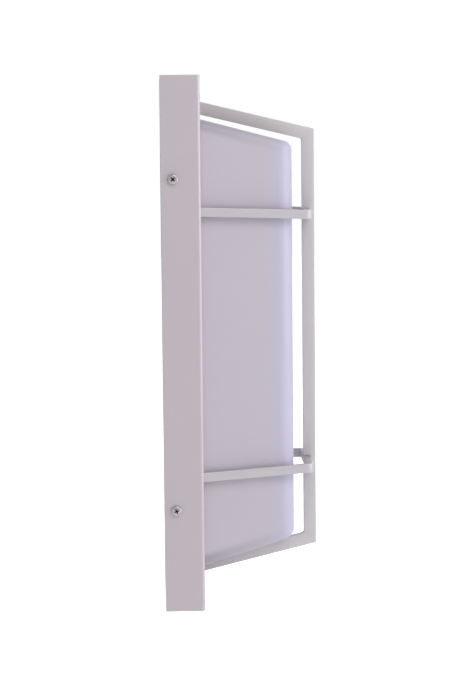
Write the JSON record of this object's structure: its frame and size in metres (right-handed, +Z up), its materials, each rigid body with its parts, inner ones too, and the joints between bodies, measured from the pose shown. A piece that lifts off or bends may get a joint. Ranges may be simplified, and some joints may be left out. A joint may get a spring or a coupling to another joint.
{
  "type": "outdoor wall lantern",
  "caption": "Tall slim outdoor wall light: a silver back pan, a tapered frosted lens, a flat-bar fin on the centre line and two hoops that wrap round the lens.",
  "frame": {"origin": "centre of the pan's open back, on the wall plane, at the mouth of the wire inlet", "axes": "+Z up along the pan's height, -Y forward out of the wall, +Y into the wall, X across the pan"},
  "size_m": [0.133, 0.1196, 0.4064],
  "materials": {
    "silver": "satin pale silver paint on aluminium",
    "frosted": "satin frosted white acrylic",
    "screw_steel": "bright stainless",
    "zinc_steel": "zinc plated",
    "bare_aluminium": "mill finish",
    "black_rubber": "matt",
    "seal_rubber": "white silicone, matt",
    "green_screw": "green plated",
    "board_white": "white solder mask",
    "chip_yellow": "phosphor resin",
    "link_white": "moulded nylon",
    "driver_shell": "moulded, fine texture",
    "circuit_board": "green solder mask",
    "component_black": "moulded",
    "terminal_plastic": "moulded nylon",
    "brass": "turned",
    "lead_insulation": "pvc insulation"
  },
  "bodies": {
    "root": {"housing_pan": "silver", "fin_top_bar": "silver", "fin_front_bar": "silver", "fin_bottom_bar": "silver", "upper_hoop": "silver", "lower_hoop": "silver", "diffuser": "frosted", "side_screws": "screw_steel", "wall_bracket": "zinc_steel", "bracket_ears": "zinc_steel", "clinch_nuts": "zinc_steel", "ground_washer": "zinc_steel", "tray_studs": "zinc_steel", "tray_nuts": "zinc_steel", "led_screws": "zinc_steel", "fixing_screws": "zinc_steel", "fin_screws": "zinc_steel", "hoop_screws": "zinc_steel", "hoop_clips": "zinc_steel", "terminal_screws": "zinc_steel", "led_tray": "bare_aluminium", "tray_rails": "bare_aluminium", "inlet_grommet": "black_rubber", "tray_grommet": "black_rubber", "wall_gasket": "black_rubber", "diffuser_gasket": "seal_rubber", "ground_screw": "green_screw", "led_board_upper": "board_white", "led_board_lower": "board_white", "led_chips": "chip_yellow", "board_link": "link_white", "driver_case": "driver_shell", "driver_cover": "driver_shell", "driver_board": "circuit_board", "driver_components": "component_black", "terminal_block": "terminal_plastic", "terminal_barrels": "brass", "input_leads": "lead_insulation", "output_leads": "lead_insulation"}
  },
  "joints": []
}
